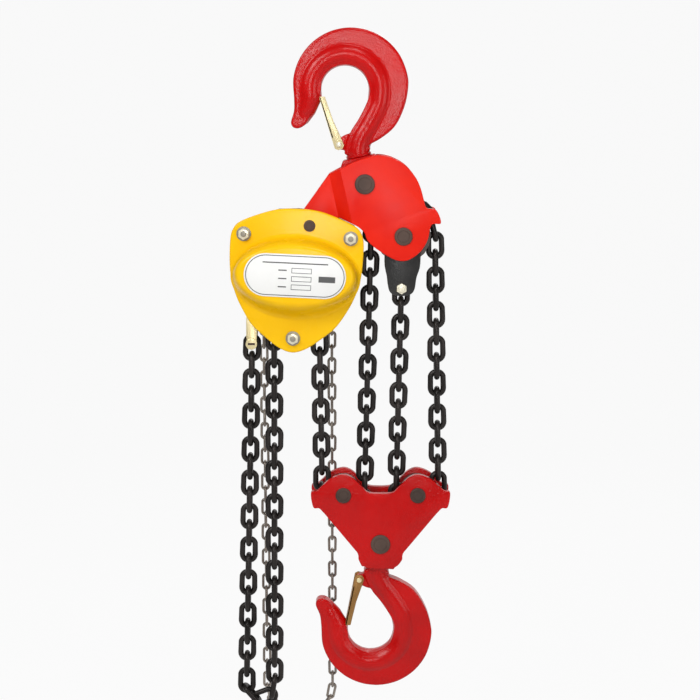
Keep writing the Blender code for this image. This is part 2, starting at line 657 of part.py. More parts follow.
def add_link(bm, runs, index, pitch, wire, half, depth, free):
    """One square-wire link on its chord; a free end stands clear of the next node's link."""
    first, last = along(runs, index * pitch), along(runs, (index + 1) * pitch)
    start, end = Vector(xyz(first, depth(first))), Vector(xyz(last, depth(last)))
    ahead = (end - start).normalized()
    across = Vector((0, 1, 0)) if index % 2 else ahead.cross(Vector((0, 1, 0)))
    normal = ahead.cross(across)
    middle = (start + end) / 2
    reach = [(end - start).length / 2 + wire / 2 + (NODE_GAP if loose else -FUSE) for loose in free]
    path = []
    for way, long in ((-1, reach[0]), (1, reach[1])):
        path += [(-way * half, way * long), (way * half, way * long)]
    loops = []
    count = len(path)
    for i, (w, v) in enumerate(path):
        before = Vector(path[i - 1])
        after = Vector(path[(i + 1) % count])
        here = Vector((w, v))
        one, two = (here - before).normalized(), (after - here).normalized()
        edge = Vector((one.y + two.y, -one.x - two.x))
        mitre = edge / edge.dot(Vector((one.y, -one.x)))
        loop = []
        for out, up in ((-1, -1), (1, -1), (1, 1), (-1, 1)):
            spot = here + mitre * out * wire / 2
            loop.append(bm.verts.new(middle + across * spot.x + ahead * spot.y + normal * up * wire / 2))
        loops.append(loop)
    for i in range(count):
        one, two = loops[i], loops[(i + 1) % count]
        for j in range(4):
            k = (j + 1) % 4
            bm.faces.new((one[j], one[k], two[k], two[j]))


def chain(name, runs, first, last, mat, pitch=PITCH, wire=WIRE, half=LINK_HALF, depth=in_line):
    """Links first to last - 1 of a run as one body: the odd links joined to the even ones."""
    pair = []
    for parity in (0, 1):
        bm = bmesh.new()
        for index in range(first, last):
            if index % 2 == parity:
                free = (index == first, index == last - 1)
                add_link(bm, runs, index, pitch, wire, half, depth, free)
        pair.append(solid(name if parity == first % 2 else name + "_mates", bm, mat if parity == first % 2 else None))
    main, mates = pair if first % 2 == 0 else pair[::-1]
    if len(mates.data.vertices):
        combine(main, mates, "UNION")
    return main


LEFT_PIN, RIGHT_PIN = LOWER_PINS
SLACK_X = (-176.0, -126.0)
slack_r = (SLACK_X[1] - SLACK_X[0]) / 2
slack_mid = ((SLACK_X[0] + SLACK_X[1]) / 2, SLACK_BOTTOM)
runs = [
    line_run((TAIL_PIN[0], TAIL_PIN[1] + TAIL_PIN_R), (SLACK_X[0], SLACK_BOTTOM)),
    arc_run(slack_mid, slack_r, math.pi, 2 * math.pi),
    line_run((SLACK_X[1], SLACK_BOTTOM), (AXIS[0] - LOAD_R, AXIS[1])),
    arc_run(AXIS, LOAD_R, math.pi, 0),
    line_run((AXIS[0] + LOAD_R, AXIS[1]), (LEFT_PIN[0] - LOWER_R, LEFT_PIN[1])),
    arc_run(LEFT_PIN, LOWER_R, math.pi, 2 * math.pi),
    line_run((LEFT_PIN[0] + LOWER_R, LEFT_PIN[1]), (UPPER_PIN[0] - UPPER_R, UPPER_PIN[1])),
    arc_run(UPPER_PIN, UPPER_R, math.pi, 0),
    line_run((UPPER_PIN[0] + UPPER_R, UPPER_PIN[1]), (RIGHT_PIN[0] + LOWER_R, RIGHT_PIN[1])),
    arc_run(RIGHT_PIN, LOWER_R, 0, -math.pi),
    line_run((RIGHT_PIN[0] - LOWER_R, RIGHT_PIN[1]), (ANCHOR_BOLT[0], ANCHOR_BOLT[1] + ANCHOR_BOLT_R)),
]
ends = [0.0]
for length, _ in runs:
    ends.append(ends[-1] + length)
links = 2 * round((ends[-1] / PITCH - 1) / 2) + 1
STRETCH = ends[-1] / links


def before(stretch):
    """The last link that lies wholly before the end of a stretch."""
    return math.floor(ends[stretch] / STRETCH - 0.6)


def after(stretch):
    """The first link that lies wholly after the end of a stretch."""
    return math.ceil(ends[stretch] / STRETCH + 0.3)


LOAD_WRAP = (before(3), after(4))
LEFT_WRAP = (before(5), after(6))
RIGHT_WRAP = (before(9), after(10))
NODES = (
    ("slack_chain", 0, LOAD_WRAP[0]),
    ("sheave_chain", *LOAD_WRAP),
    ("fall_1_upper", LOAD_WRAP[1], LEFT_WRAP[0] - RISE_LINKS),
    ("fall_1_lower", LEFT_WRAP[0] - RISE_LINKS, LEFT_WRAP[0]),
    ("left_wrap", *LEFT_WRAP),
    ("fall_2_lower", LEFT_WRAP[1], LEFT_WRAP[1] + RISE_LINKS),
    ("upper_chain", LEFT_WRAP[1] + RISE_LINKS, RIGHT_WRAP[0] - RISE_LINKS),
    ("fall_3_lower", RIGHT_WRAP[0] - RISE_LINKS, RIGHT_WRAP[0]),
    ("right_wrap", *RIGHT_WRAP),
    ("fall_4_lower", RIGHT_WRAP[1], RIGHT_WRAP[1] + RISE_LINKS),
    ("fall_4_upper", RIGHT_WRAP[1] + RISE_LINKS, links),
)
for name, first, last in NODES:
    chain(name, runs, first, last, BLACK, STRETCH)

hand_left, hand_right = AXIS[0] - HAND_R, AXIS[0] + HAND_R
hand_lead = (hand_left, AXIS[1] - 2 * HAND_PITCH)
hand_runs = [
    line_run(hand_lead, (hand_left, HAND_BOTTOM)),
    arc_run((AXIS[0], HAND_BOTTOM), HAND_R, math.pi, 2 * math.pi),
    line_run((hand_right, HAND_BOTTOM), (hand_right, AXIS[1])),
    arc_run(AXIS, HAND_R, 0, math.pi),
    line_run((hand_left, AXIS[1]), hand_lead),
]
hand_length = sum(length for length, _ in hand_runs)
hand_links = 2 * round(hand_length / HAND_PITCH / 2)
hand_step = hand_length / hand_links
over = math.ceil((hand_runs[3][0] + hand_runs[4][0]) / hand_step) + 1


def hand_depth(point):
    """The hand chain hangs a little back below its wheel, clear of the turning lower hook."""
    drop = max(0.0, hand_lead[1] - point[1]) / (hand_lead[1] - HAND_BOTTOM)
    return HAND_Y + HAND_SET_BACK * drop


size = (STEEL, hand_step, HAND_WIRE, HAND_HALF, hand_depth)
chain("hand_chain", hand_runs, 0, hand_links - over, *size)
chain("hand_wheel_chain", hand_runs, hand_links - over, hand_links, *size)
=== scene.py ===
"""The looks of a four-fall manual chain hoist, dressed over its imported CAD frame."""

import math

import bmesh
import bpy
from mathutils import Matrix, Vector


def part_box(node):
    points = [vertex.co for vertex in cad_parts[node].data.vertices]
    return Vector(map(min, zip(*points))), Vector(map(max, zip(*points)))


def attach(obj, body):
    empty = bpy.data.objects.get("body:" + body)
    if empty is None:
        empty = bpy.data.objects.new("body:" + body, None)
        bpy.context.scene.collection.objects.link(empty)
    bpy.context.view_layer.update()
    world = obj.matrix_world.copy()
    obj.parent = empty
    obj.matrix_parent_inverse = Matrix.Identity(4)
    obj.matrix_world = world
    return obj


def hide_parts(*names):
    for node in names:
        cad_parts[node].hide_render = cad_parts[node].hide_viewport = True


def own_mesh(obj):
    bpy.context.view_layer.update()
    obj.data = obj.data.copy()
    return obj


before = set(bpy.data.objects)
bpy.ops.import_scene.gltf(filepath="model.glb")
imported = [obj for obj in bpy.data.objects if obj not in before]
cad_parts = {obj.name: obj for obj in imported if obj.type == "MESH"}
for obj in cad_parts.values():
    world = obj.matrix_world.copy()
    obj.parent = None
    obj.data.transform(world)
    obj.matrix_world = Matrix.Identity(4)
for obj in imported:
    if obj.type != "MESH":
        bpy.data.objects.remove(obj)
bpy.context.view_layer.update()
scene = bpy.context.scene
scene.view_settings.view_transform = "Standard"

# Studio: a white paper sweep behind and under the hanging hoist, lit by soft boxes on stands.
# The paper glows where it is seen directly or in a gloss, and is plain matt paper to all other light.
# The camera stands about three metres off and looks slightly down, as the photograph does.
CAMERA_AT = (0.0085, -2.967, -0.045)
CAMERA_DOWN = 8.5
CAMERA_LENS = 88.9
CAMERA_SENSOR = 36.0
FLOOR_Z = -1.32
PAPER_WIDTH = 9.0
PAPER_HEIGHT = 6.0
PAPER_BEND = 1.5
PAPER_GREY = 0.72
PAPER_ROUGH = 0.95
PAPER_GLOW = 0.92
WORLD_GLOW = 0.24
bpy.ops.object.select_all(action="DESELECT")
bpy.ops.object.camera_add(location=CAMERA_AT, rotation=(math.radians(90 - CAMERA_DOWN), 0, 0))
scene.camera = bpy.context.object
scene.camera.data.lens = CAMERA_LENS
scene.camera.data.sensor_width = CAMERA_SENSOR

bpy.ops.mesh.primitive_plane_add(size=PAPER_WIDTH, location=(0, 0, FLOOR_Z))
paper = bpy.context.object
paper.name = "paper_sweep"
bpy.ops.object.mode_set(mode="EDIT")
bpy.ops.mesh.select_all(action="DESELECT")
paper_edit = bmesh.from_edit_mesh(paper.data)
for edge in paper_edit.edges:
    edge.select_set(all(vert.co.y > 0 for vert in edge.verts))
bmesh.update_edit_mesh(paper.data)
bpy.ops.mesh.extrude_region_move(TRANSFORM_OT_translate={"value": (0, 0, PAPER_HEIGHT)})
bpy.ops.object.mode_set(mode="OBJECT")
bend = paper.modifiers.new("bend", "BEVEL")
bend.width = PAPER_BEND
bend.segments = 16
bpy.ops.object.modifier_apply(modifier="bend")
bpy.ops.object.shade_smooth()
paper_white = bpy.data.materials.new("paper_white")
paper_white.use_nodes = True
tree = paper_white.node_tree
matt = tree.nodes["Principled BSDF"]
matt.inputs["Base Color"].default_value = (PAPER_GREY, PAPER_GREY, PAPER_GREY, 1)
matt.inputs["Roughness"].default_value = PAPER_ROUGH
ray = tree.nodes.new("ShaderNodeLightPath")
glow = tree.nodes.new("ShaderNodeEmission")
blend = tree.nodes.new("ShaderNodeMixShader")
mirrored = tree.nodes.new("ShaderNodeMath")
mirrored.operation = "MAXIMUM"
seen = tree.nodes.new("ShaderNodeMath")
seen.operation = "MAXIMUM"
share = tree.nodes.new("ShaderNodeMath")
share.operation = "MULTIPLY"
share.inputs[1].default_value = PAPER_GLOW
tree.links.new(ray.outputs["Is Glossy Ray"], mirrored.inputs[0])
tree.links.new(ray.outputs["Is Transmission Ray"], mirrored.inputs[1])
tree.links.new(ray.outputs["Is Camera Ray"], seen.inputs[0])
tree.links.new(mirrored.outputs["Value"], seen.inputs[1])
tree.links.new(seen.outputs["Value"], share.inputs[0])
tree.links.new(share.outputs["Value"], blend.inputs["Fac"])
tree.links.new(matt.outputs["BSDF"], blend.inputs[1])
tree.links.new(glow.outputs["Emission"], blend.inputs[2])
tree.links.new(blend.outputs["Shader"], tree.nodes["Material Output"].inputs["Surface"])
paper.data.materials.append(paper_white)

scene.world = bpy.data.worlds.new("studio")
scene.world.use_nodes = True
sky = scene.world.node_tree.nodes["Background"]
sky.inputs["Color"].default_value = (1, 1, 1, 1)
sky.inputs["Strength"].default_value = WORLD_GLOW
for name, place, aim, size, power in (
    ("key_box", (-1.5, -2.3, 1.2), (0, 0, -0.5), 1.2, 50),
    ("fill_box", (2.1, -2.0, -0.2), (0, 0, -0.7), 1.2, 16),
    ("top_strip", (0.4, -1.6, 1.7), (0, 0, -0.2), 0.6, 14),
    ("front_box", (0.04, -3.1, 0.02), (0.04, 0, 0.02), 0.55, 16),
    ("back_box", (0.6, 2.0, 1.6), (0, 0, -0.5), 1.0, 30),
):
    bpy.ops.object.light_add(type="AREA", location=place)
    lamp = bpy.context.object
    lamp.name = name
    lamp.data.size = size
    lamp.data.energy = power
    lamp.rotation_euler = (Vector(aim) - Vector(place)).to_track_quat("-Z", "Y").to_euler()

# Hooks: drop-forged steel, a thin flat back and a thick round bead along the bowl, in red enamel.
# The bead grows out of the shank, goes round the bowl and thins to the nose.
# A collar is turned on the shank above its neck. The lower hook is the same forging turned over.
MM = 0.001
TOP_PIN = (33.5, -200.0)
LOW_PIN = (61.6, -826.2)
TOP_TILT = -11.9
LOW_TILT = 5.9
BOWL_HEIGHT = 162.0
BOWL_R = 41.5
BACK_R = 98.0
SHANK_R = 20.3
SHANK_FOOT = 47.0
COLLAR_R = 21.6
COLLAR = (46.4, 51.0)
COLLAR_EDGE = 0.8
NECK_R = 13.6
NECK = (22.0, 50.0)
NECK_EDGE = 0.5
BACK_HALF = 14.0
BACK_AT = (10.5, BOWL_HEIGHT + 3.5)
HEEL = ((SHANK_R, 54), (SHANK_R, 62), (42, 69), (70, 84), (92, 112), (105, 142))
NOSE = ((-92, 145), (-101, 128), (-100, 119), (-94, 115), (-86, 115), (-74, 122), (-57, 147))
THROAT = (
    (BOWL_R - 0.5, 155), (36.5, 141), (26.5, 126), (11, 107.5), (-2.5, 94), (-12.5, 80), (-SHANK_R, 64),
    (-SHANK_R, 54),
)
BEAD_R = 20.5
BEAD_SINK = 1.5
BEAD_NECK = ((0, SHANK_FOOT), (0, 58), (5, 69.6), (12.9, 80.8), (26, 93.9), (42.7, 113.7), (52, 127))
BEAD_NOSE = (((-72, 143), 17.5), ((-83, 129), 13.5), ((-91, 123), 9.0))
EAR = ((4, 88), (-14, 88), (-30, 83), (-36, 78), (-36, 70), (-30, 65), (-12, 60), (4, 60))
EAR_HALF = 9.0
LATCH_PIVOT = (-29.5, 74.0)
TUBE_ROUND = 14
BAR_SIDES = 64
FORGE_VOXEL = 1.6
FORGE_SMOOTH = 10
CLOUD_SCALE = 16.0
CLOUD_DETAIL = 6.0
CLOUD_LOW = 0.3
CLOUD_HIGH = 0.7
GRAIN_DETAIL = 3.0
COAT_ROUGH = 0.15
UPPER_HOOK = ("top", TOP_PIN, TOP_TILT, 1)
LOWER_HOOK = ("bottom", LOW_PIN, LOW_TILT, -1)


def skin_group():
    """A shader group: cloudy tone over the whole piece, and the fine relief of its skin."""
    group = bpy.data.node_groups.new("metal_skin", "ShaderNodeTree")
    for label, kind, way in (
        ("Grain", "NodeSocketFloat", "INPUT"), ("Depth", "NodeSocketFloat", "INPUT"),
        ("Cloud", "NodeSocketFloat", "OUTPUT"), ("Normal", "NodeSocketVector", "OUTPUT"),
    ):
        group.interface.new_socket(label, in_out=way, socket_type=kind)
    given = group.nodes.new("NodeGroupInput")
    made = group.nodes.new("NodeGroupOutput")
    place = group.nodes.new("ShaderNodeTexCoord")
    cloud = group.nodes.new("ShaderNodeTexNoise")
    cloud.inputs["Scale"].default_value = CLOUD_SCALE
    cloud.inputs["Detail"].default_value = CLOUD_DETAIL
    grain = group.nodes.new("ShaderNodeTexNoise")
    grain.inputs["Detail"].default_value = GRAIN_DETAIL
    relief = group.nodes.new("ShaderNodeBump")
    relief.inputs["Distance"].default_value = MM
    group.links.new(place.outputs["Object"], cloud.inputs["Vector"])
    group.links.new(place.outputs["Object"], grain.inputs["Vector"])
    group.links.new(given.outputs["Grain"], grain.inputs["Scale"])
    group.links.new(given.outputs["Depth"], relief.inputs["Strength"])
    group.links.new(grain.outputs["Fac"], relief.inputs["Height"])
    group.links.new(cloud.outputs["Fac"], made.inputs["Cloud"])
    group.links.new(relief.outputs["Normal"], made.inputs["Normal"])
    return group


METAL_SKIN = skin_group()


def finish_of(name, light, dark, rough, metal=0.0, grain=300.0, depth=0.2, coat=0.0, shine=0.3):
    """A surface that drifts from a light to a dark tone, with its gloss drifting along."""
    surface = bpy.data.materials.new(name)
    surface.use_nodes = True
    tree = surface.node_tree
    shader = tree.nodes["Principled BSDF"]
    skin = tree.nodes.new("ShaderNodeGroup")
    skin.node_tree = METAL_SKIN
    skin.inputs["Grain"].default_value = grain
    skin.inputs["Depth"].default_value = depth
    tone = tree.nodes.new("ShaderNodeValToRGB")
    tone.color_ramp.elements[0].position = CLOUD_LOW
    tone.color_ramp.elements[0].color = (*dark, 1)
    tone.color_ramp.elements[1].position = CLOUD_HIGH
    tone.color_ramp.elements[1].color = (*light, 1)
    gloss = tree.nodes.new("ShaderNodeMapRange")
    gloss.inputs["From Min"].default_value = CLOUD_LOW
    gloss.inputs["From Max"].default_value = CLOUD_HIGH
    gloss.inputs["To Min"].default_value = rough[0]
    gloss.inputs["To Max"].default_value = rough[1]
    tree.links.new(skin.outputs["Cloud"], tone.inputs["Fac"])
    tree.links.new(skin.outputs["Cloud"], gloss.inputs["Value"])
    tree.links.new(tone.outputs["Color"], shader.inputs["Base Color"])
    tree.links.new(gloss.outputs["Result"], shader.inputs["Roughness"])
    tree.links.new(skin.outputs["Normal"], shader.inputs["Normal"])
    shader.inputs["Metallic"].default_value = metal
    shader.inputs["Specular IOR Level"].default_value = shine
    shader.inputs["Coat Weight"].default_value = coat
    shader.inputs["Coat Roughness"].default_value = COAT_ROUGH
    return surface


RED_ENAMEL = finish_of(
    "red_enamel", (0.56, 0.001, 0.001), (0.44, 0.001, 0.001), (0.2, 0.28), depth=0.35, shine=0.24,
)


def smooth_loop(points, steps):
    """A closed curve through the points."""
    line = []
    for i in range(len(points)):
        a, b, c, d = (Vector(points[(i + k) % len(points)]) for k in (-1, 0, 1, 2))
        for j in range(steps):
            t = j / steps
            slope = (c - a) * t
            bow = (2 * a - 5 * b + 4 * c - d) * t * t
            twist = (3 * b - a - 3 * c + d) * t ** 3
            line.append((2 * b + slope + bow + twist) / 2)
    return line


def flat_ring(line, y):
    """A filled ring laid on an outline in X and Z."""
    bpy.ops.object.select_all(action="DESELECT")
    bpy.ops.mesh.primitive_circle_add(vertices=len(line), fill_type="NGON")
    ring = bpy.context.object
    for vert, point in zip(ring.data.vertices, line):
        vert.co = Vector((point[0], y, point[1])) * MM
    return ring


def drawn_out(depth):
    """Extrudes what is selected in edit mode along Y, and turns every face outwards."""
    bpy.ops.mesh.extrude_region_move(TRANSFORM_OT_translate={"value": (0, depth * MM, 0)})
    bpy.ops.mesh.select_all(action="SELECT")
    bpy.ops.mesh.normals_make_consistent(inside=False)


def plate_of(line, y0, y1):
    """A flat plate: a filled ring that is drawn out."""
    plate = flat_ring(line, y0)
    bpy.ops.object.mode_set(mode="EDIT")
    bpy.ops.mesh.select_all(action="SELECT")
    drawn_out(y1 - y0)
    bpy.ops.object.mode_set(mode="OBJECT")
    return plate


def only(piece):
    """Makes a piece the only one selected, and the active one."""
    bpy.ops.object.select_all(action="DESELECT")
    piece.select_set(True)
    bpy.context.view_layer.objects.active = piece


def joined(*pieces):
    """Joins the pieces into the first of them."""
    only(pieces[0])
    for piece in pieces:
        piece.select_set(True)
    bpy.ops.object.join()
    return pieces[0]


def applied(piece, kind, **settings):
    """A modifier, set and applied."""
    only(piece)
    step = piece.modifiers.new(kind.lower(), kind)
    for label, value in settings.items():
        setattr(step, label, value)
    bpy.ops.object.modifier_apply(modifier=step.name)
    return piece


def rounded(piece, width, segments, degrees):
    """Rounds the edges of a piece that turn by more than an angle."""
    sharp = math.radians(degrees)
    return applied(
        piece, "BEVEL", width=width * MM, segments=segments, limit_method="ANGLE", angle_limit=sharp,
    )


def fitted(piece, name, finish, body, replaced=(), smooth=35):
    """Names a piece, gives it its finish and hands it to the frame."""
    piece.name = name
    piece.data.materials.clear()
    piece.data.materials.append(finish)
    only(piece)
    bpy.ops.object.transform_apply()
    bpy.ops.object.shade_smooth_by_angle(angle=math.radians(smooth))
    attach(piece, body)
    if replaced:
        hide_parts(*replaced)
    return piece


def on_circle(centre, radius, degrees):
    """A point of a circle in X and Z."""
    angle = math.radians(degrees)
    return (centre[0] + radius * math.cos(angle), centre[1] + radius * math.sin(angle))


def hook_outline():
    """The outline of the flat back: heel, back, nose, bowl and throat."""
    outline = [*HEEL]
    outline += [on_circle(BACK_AT, BACK_R, degrees) for degrees in range(0, 181, 20)]
    outline += NOSE
    outline += [on_circle((0, BOWL_HEIGHT), BOWL_R, degrees) for degrees in range(175, 0, -25)]
    return outline + [*THROAT]


def hook_bead():
    """Points and radii of the round bead, from the shank to the nose."""
    bead = [(point, SHANK_R) for point in BEAD_NECK]
    for degrees in range(-20, 186, 10):
        bead.append((on_circle((0, BOWL_HEIGHT), BOWL_R + BEAD_R - BEAD_SINK, degrees), BEAD_R))
    return bead + [*BEAD_NOSE]


def tube_of(stations):
    """A round bar of changing thickness through the stations, made a mesh."""
    bpy.ops.object.select_all(action="DESELECT")
    bpy.ops.curve.primitive_nurbs_path_add()
    bar = bpy.context.object
    bar.data.splines.clear()
    spline = bar.data.splines.new("POLY")
    spline.points.add(len(stations) - 1)
    for knot, ((x, z), radius) in zip(spline.points, stations):
        knot.co = (x * MM, 0, z * MM, 1)
        knot.radius = radius * MM
    bar.data.bevel_depth = 1.0
    bar.data.bevel_resolution = TUBE_ROUND
    bar.data.use_fill_caps = True
    bpy.ops.object.convert(target="MESH")
    return bpy.context.object


def hung(pin, tilt):
    """The place of a piece that is drawn about a pin and leans in the picture's plane."""
    lean = Matrix.Rotation(math.radians(tilt), 4, "Y")
    return Matrix.Translation(Vector((pin[0], 0, pin[1])) * MM) @ lean


def upright_bar(radius, z0, z1, edge):
    """A round bar along Z with rounded ends."""
    bpy.ops.object.select_all(action="DESELECT")
    bpy.ops.mesh.primitive_cylinder_add(
        vertices=BAR_SIDES, radius=radius * MM, depth=abs(z1 - z0) * MM, location=(0, 0, (z0 + z1) / 2 * MM),
    )
    bar = bpy.context.object
    bpy.ops.object.transform_apply()
    return rounded(bar, edge, segments=2, degrees=60)


for end, pin, tilt, way in (UPPER_HOOK, LOWER_HOOK):
    back_line = smooth_loop(hook_outline(), steps=4)
    back = plate_of([(x, way * z) for x, z in back_line], -BACK_HALF, BACK_HALF)
    bead = tube_of([((x, way * z), radius) for (x, z), radius in hook_bead()])
    lug = plate_of([(x, way * z) for x, z in EAR], -EAR_HALF, EAR_HALF)
    hook = joined(back, bead, lug)
    applied(hook, "REMESH", mode="VOXEL", voxel_size=FORGE_VOXEL * MM)
    applied(hook, "SMOOTH", factor=0.5, iterations=FORGE_SMOOTH)
    collar = upright_bar(COLLAR_R, way * COLLAR[0], way * COLLAR[1], COLLAR_EDGE)
    hook = joined(hook, collar, upright_bar(NECK_R, way * NECK[0], way * NECK[1], NECK_EDGE))
    hook.matrix_world = hung(pin, tilt)
    node = end + "_hook"
    fitted(hook, node + "_forging", RED_ENAMEL, node + "_body", (node,), smooth=80)

# Latches: bent sheet steel, yellow-passivated zinc on the upper latch; the lower latch and its rivet are a
# tone darker than the upper ones.
# Each turns on a rivet through the hook's lug and closes the mouth of the hook.
PALE_ZINC = finish_of(
    "pale_yellow_zinc", (0.8, 0.7, 0.42), (0.66, 0.55, 0.3), (0.3, 0.42), metal=0.6, grain=400,
)
BRONZE_ZINC = finish_of(
    "bronze_zinc", (0.36, 0.19, 0.06), (0.24, 0.12, 0.035), (0.3, 0.45), metal=0.6, grain=400,
)
BRIGHT_ZINC = finish_of(
    "bright_zinc", (0.84, 0.8, 0.64), (0.66, 0.62, 0.48), (0.25, 0.4), metal=0.35, grain=500, depth=0.1,
)
LATCH_LEAN = 5.5
LATCH_OUT = 12.0
LATCH_SHEET = 2.4
LATCH_SIDE = ((-8.5, -5), (-4, -9), (4, -9), (8, -4), (7, 10), (3, 40), (1.5, 84), (-8.0, 86))
LATCH_WEB = ((-8.0, 13), (-5.0, 13), (-5.0, 86), (-8.0, 86))
LATCH_EDGE = 0.6
RIVET_R = 4.6
RIVET_IN = 12.4
RIVET_OUT = 15.0
RIVET_EDGE = 1.5
WELD_GAP = 0.00001
FLAT_WITHIN = math.radians(1)


def eased_copy(node, width):
    """A copy of a CAD node with its triangles merged and its edges rounded."""
    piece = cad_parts[node].copy()
    piece.data = piece.data.copy()
    piece.parent = None
    scene.collection.objects.link(piece)
    piece.matrix_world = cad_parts[node].matrix_world.copy()
    only(piece)
    bpy.ops.object.mode_set(mode="EDIT")
    bpy.ops.mesh.select_all(action="SELECT")
    bpy.ops.mesh.remove_doubles(threshold=WELD_GAP)
    bpy.ops.mesh.dissolve_limited(angle_limit=FLAT_WITHIN)
    bpy.ops.object.mode_set(mode="OBJECT")
    return rounded(piece, width, segments=2, degrees=45)


def bar_of(centre, radius, y0, y1, edge, sides=48):
    """A round or many-sided bar along Y with chamfered ends."""
    bpy.ops.object.select_all(action="DESELECT")
    bpy.ops.mesh.primitive_cylinder_add(vertices=sides, radius=radius * MM, depth=(y1 - y0) * MM)
    bar = bpy.context.object
    bar.rotation_euler.x = math.radians(90)
    bar.location = Vector((centre[0], (y0 + y1) / 2, centre[1])) * MM
    bpy.ops.object.transform_apply()
    return rounded(bar, edge, segments=3, degrees=70)


for (end, pin, tilt, way), zinc, rivet_zinc in (
    (UPPER_HOOK, PALE_ZINC, BRIGHT_ZINC), (LOWER_HOOK, BRONZE_ZINC, PALE_ZINC),
):
    sheets = (
        (LATCH_SIDE, -LATCH_OUT, LATCH_SHEET - LATCH_OUT),
        (LATCH_SIDE, LATCH_OUT - LATCH_SHEET, LATCH_OUT),
        (LATCH_WEB, -LATCH_OUT, LATCH_OUT),
    )
    latch = joined(*(plate_of([(x, way * z) for x, z in line], *faces) for line, *faces in sheets))
    rounded(latch, LATCH_EDGE, segments=2, degrees=45)
    pivot = (LATCH_PIVOT[0], way * LATCH_PIVOT[1])
    place = hung(pin, tilt) @ Matrix.Translation(Vector((pivot[0], 0, pivot[1])) * MM)
    latch.matrix_world = place @ Matrix.Rotation(math.radians(-way * LATCH_LEAN), 4, "Y")
    fitted(latch, end + "_latch_pressing", zinc, end + "_latch_body", (end + "_latch",))
    rivet = joined(
        bar_of(pivot, RIVET_R, -RIVET_OUT, -RIVET_IN, RIVET_EDGE),
        bar_of(pivot, RIVET_R, RIVET_IN, RIVET_OUT, RIVET_EDGE),
    )
    rivet.matrix_world = hung(pin, tilt)
    fitted(rivet, end + "_latch_rivet", rivet_zinc, end + "_hook_body")

# Yokes: forged steel blocks in red enamel, with the rounded edges of their dies.
# Each swings on a cross pin between the plates and carries the shank of its hook.
YOKE_EDGE = 2.5
for end in ("top", "bottom"):
    yoke = eased_copy(end + "_yoke", YOKE_EDGE)
    fitted(yoke, end + "_yoke_forging", RED_ENAMEL, end + "_yoke_body", (end + "_yoke",))

# Upper frame: two thick steel plates, flame-cut, in red enamel, with an ear that guides the chain.
# The left of each is pressed inwards in a joggle and reaches the hanging pin inside the body.
PLATE_IN = 22.0
PLATE_T = 12.0
ARM_IN = 6.5
PLATE_EDGE = 1.8
HANG_PIN = (-60.3, -270.2)
HANG_R = 23.5
ARM_FOOT = (-24.0, -283.0)
ARM_SHOULDER = (-54.8, -222.0)
OUTER_BEND = ((-8.4, -173.7), (12.6, -267.2))
INNER_BEND = ((-27.0, -183.0), (-11.4, -257.0))
SPAN = (
    (20.3, -160.3), (45.6, -152.8), (59.0, -151.1), (79.3, -155.3), (103.0, -168.7), (119.9, -188.9),
    (128.5, -207.4), (133.7, -226.0), (139.0, -240.0), (155.0, -244.0), (163.0, -266.0), (147.0, -269.0),
    (141.0, -293.8), (129.0, -314.0), (110.5, -327.8), (93.5, -330.4), (76.5, -324.4), (49.2, -306.5),
    (37.3, -293.8), (33.5, -283.0), (24.0, -273.5),
)
# Painted light: the upper plates carry the same red enamel as the lower block, painted lighter and more
# orange here to stand for the brighter light and reflection that fall on them.
PAINTED_LIGHT_PLATE_ENAMEL = finish_of(
    "plate_enamel_painted_light", (0.78, 0.016, 0.003), (0.68, 0.008, 0.002), (0.3, 0.4), depth=0.15, shine=0.18,
)


def smooth_line(points, steps=5):
    """An open curve through the points that keeps its two ends."""
    first, last = Vector(points[0]), Vector(points[-1])
    lead = tuple(2 * first - Vector(points[1]))
    trail = tuple(2 * last - Vector(points[-2]))
    curve = smooth_loop([lead, *points, trail], steps)
    return curve[steps: len(points) * steps + 1]


def near(vert, points):
    """Whether a vertex lies on one of the points in X and Z, to a hundredth of a millimetre."""
    return any(math.dist((vert.co.x / MM, vert.co.z / MM), point) < 0.01 for point in points)


arm = [INNER_BEND[1], ARM_FOOT]
arm += [on_circle(HANG_PIN, HANG_R, degrees) for degrees in (-70, -110, -150, 170, 145)]
arm += [ARM_SHOULDER, INNER_BEND[0]]
span = [OUTER_BEND[0], *SPAN, OUTER_BEND[1]]
for name, side in (("upper_front_plate", -1), ("upper_rear_plate", 1)):
    broad_face = flat_ring(smooth_line(span), side * PLATE_IN)
    plate = joined(broad_face, flat_ring(smooth_line(arm), side * ARM_IN))
    bpy.ops.object.mode_set(mode="EDIT")
    bpy.ops.mesh.select_mode(type="EDGE")
    bpy.ops.mesh.select_all(action="DESELECT")
    edit = bmesh.from_edit_mesh(plate.data)
    bends = (OUTER_BEND, INNER_BEND)
    for edge in edit.edges:
        edge.select_set(any(all(near(vert, bend) for vert in edge.verts) for bend in bends))
    bmesh.update_edit_mesh(plate.data)
    bpy.ops.mesh.bridge_edge_loops()
    bpy.ops.mesh.select_all(action="SELECT")
    bpy.ops.mesh.normals_make_consistent(inside=False)
    drawn_out(side * PLATE_T)
    bpy.ops.mesh.select_mode(type="VERT")
    bpy.ops.object.mode_set(mode="OBJECT")
    rounded(plate, PLATE_EDGE, segments=3, degrees=60)
    fitted(plate, name + "_pressing", PAINTED_LIGHT_PLATE_ENAMEL, "frame", (name,), smooth=25)

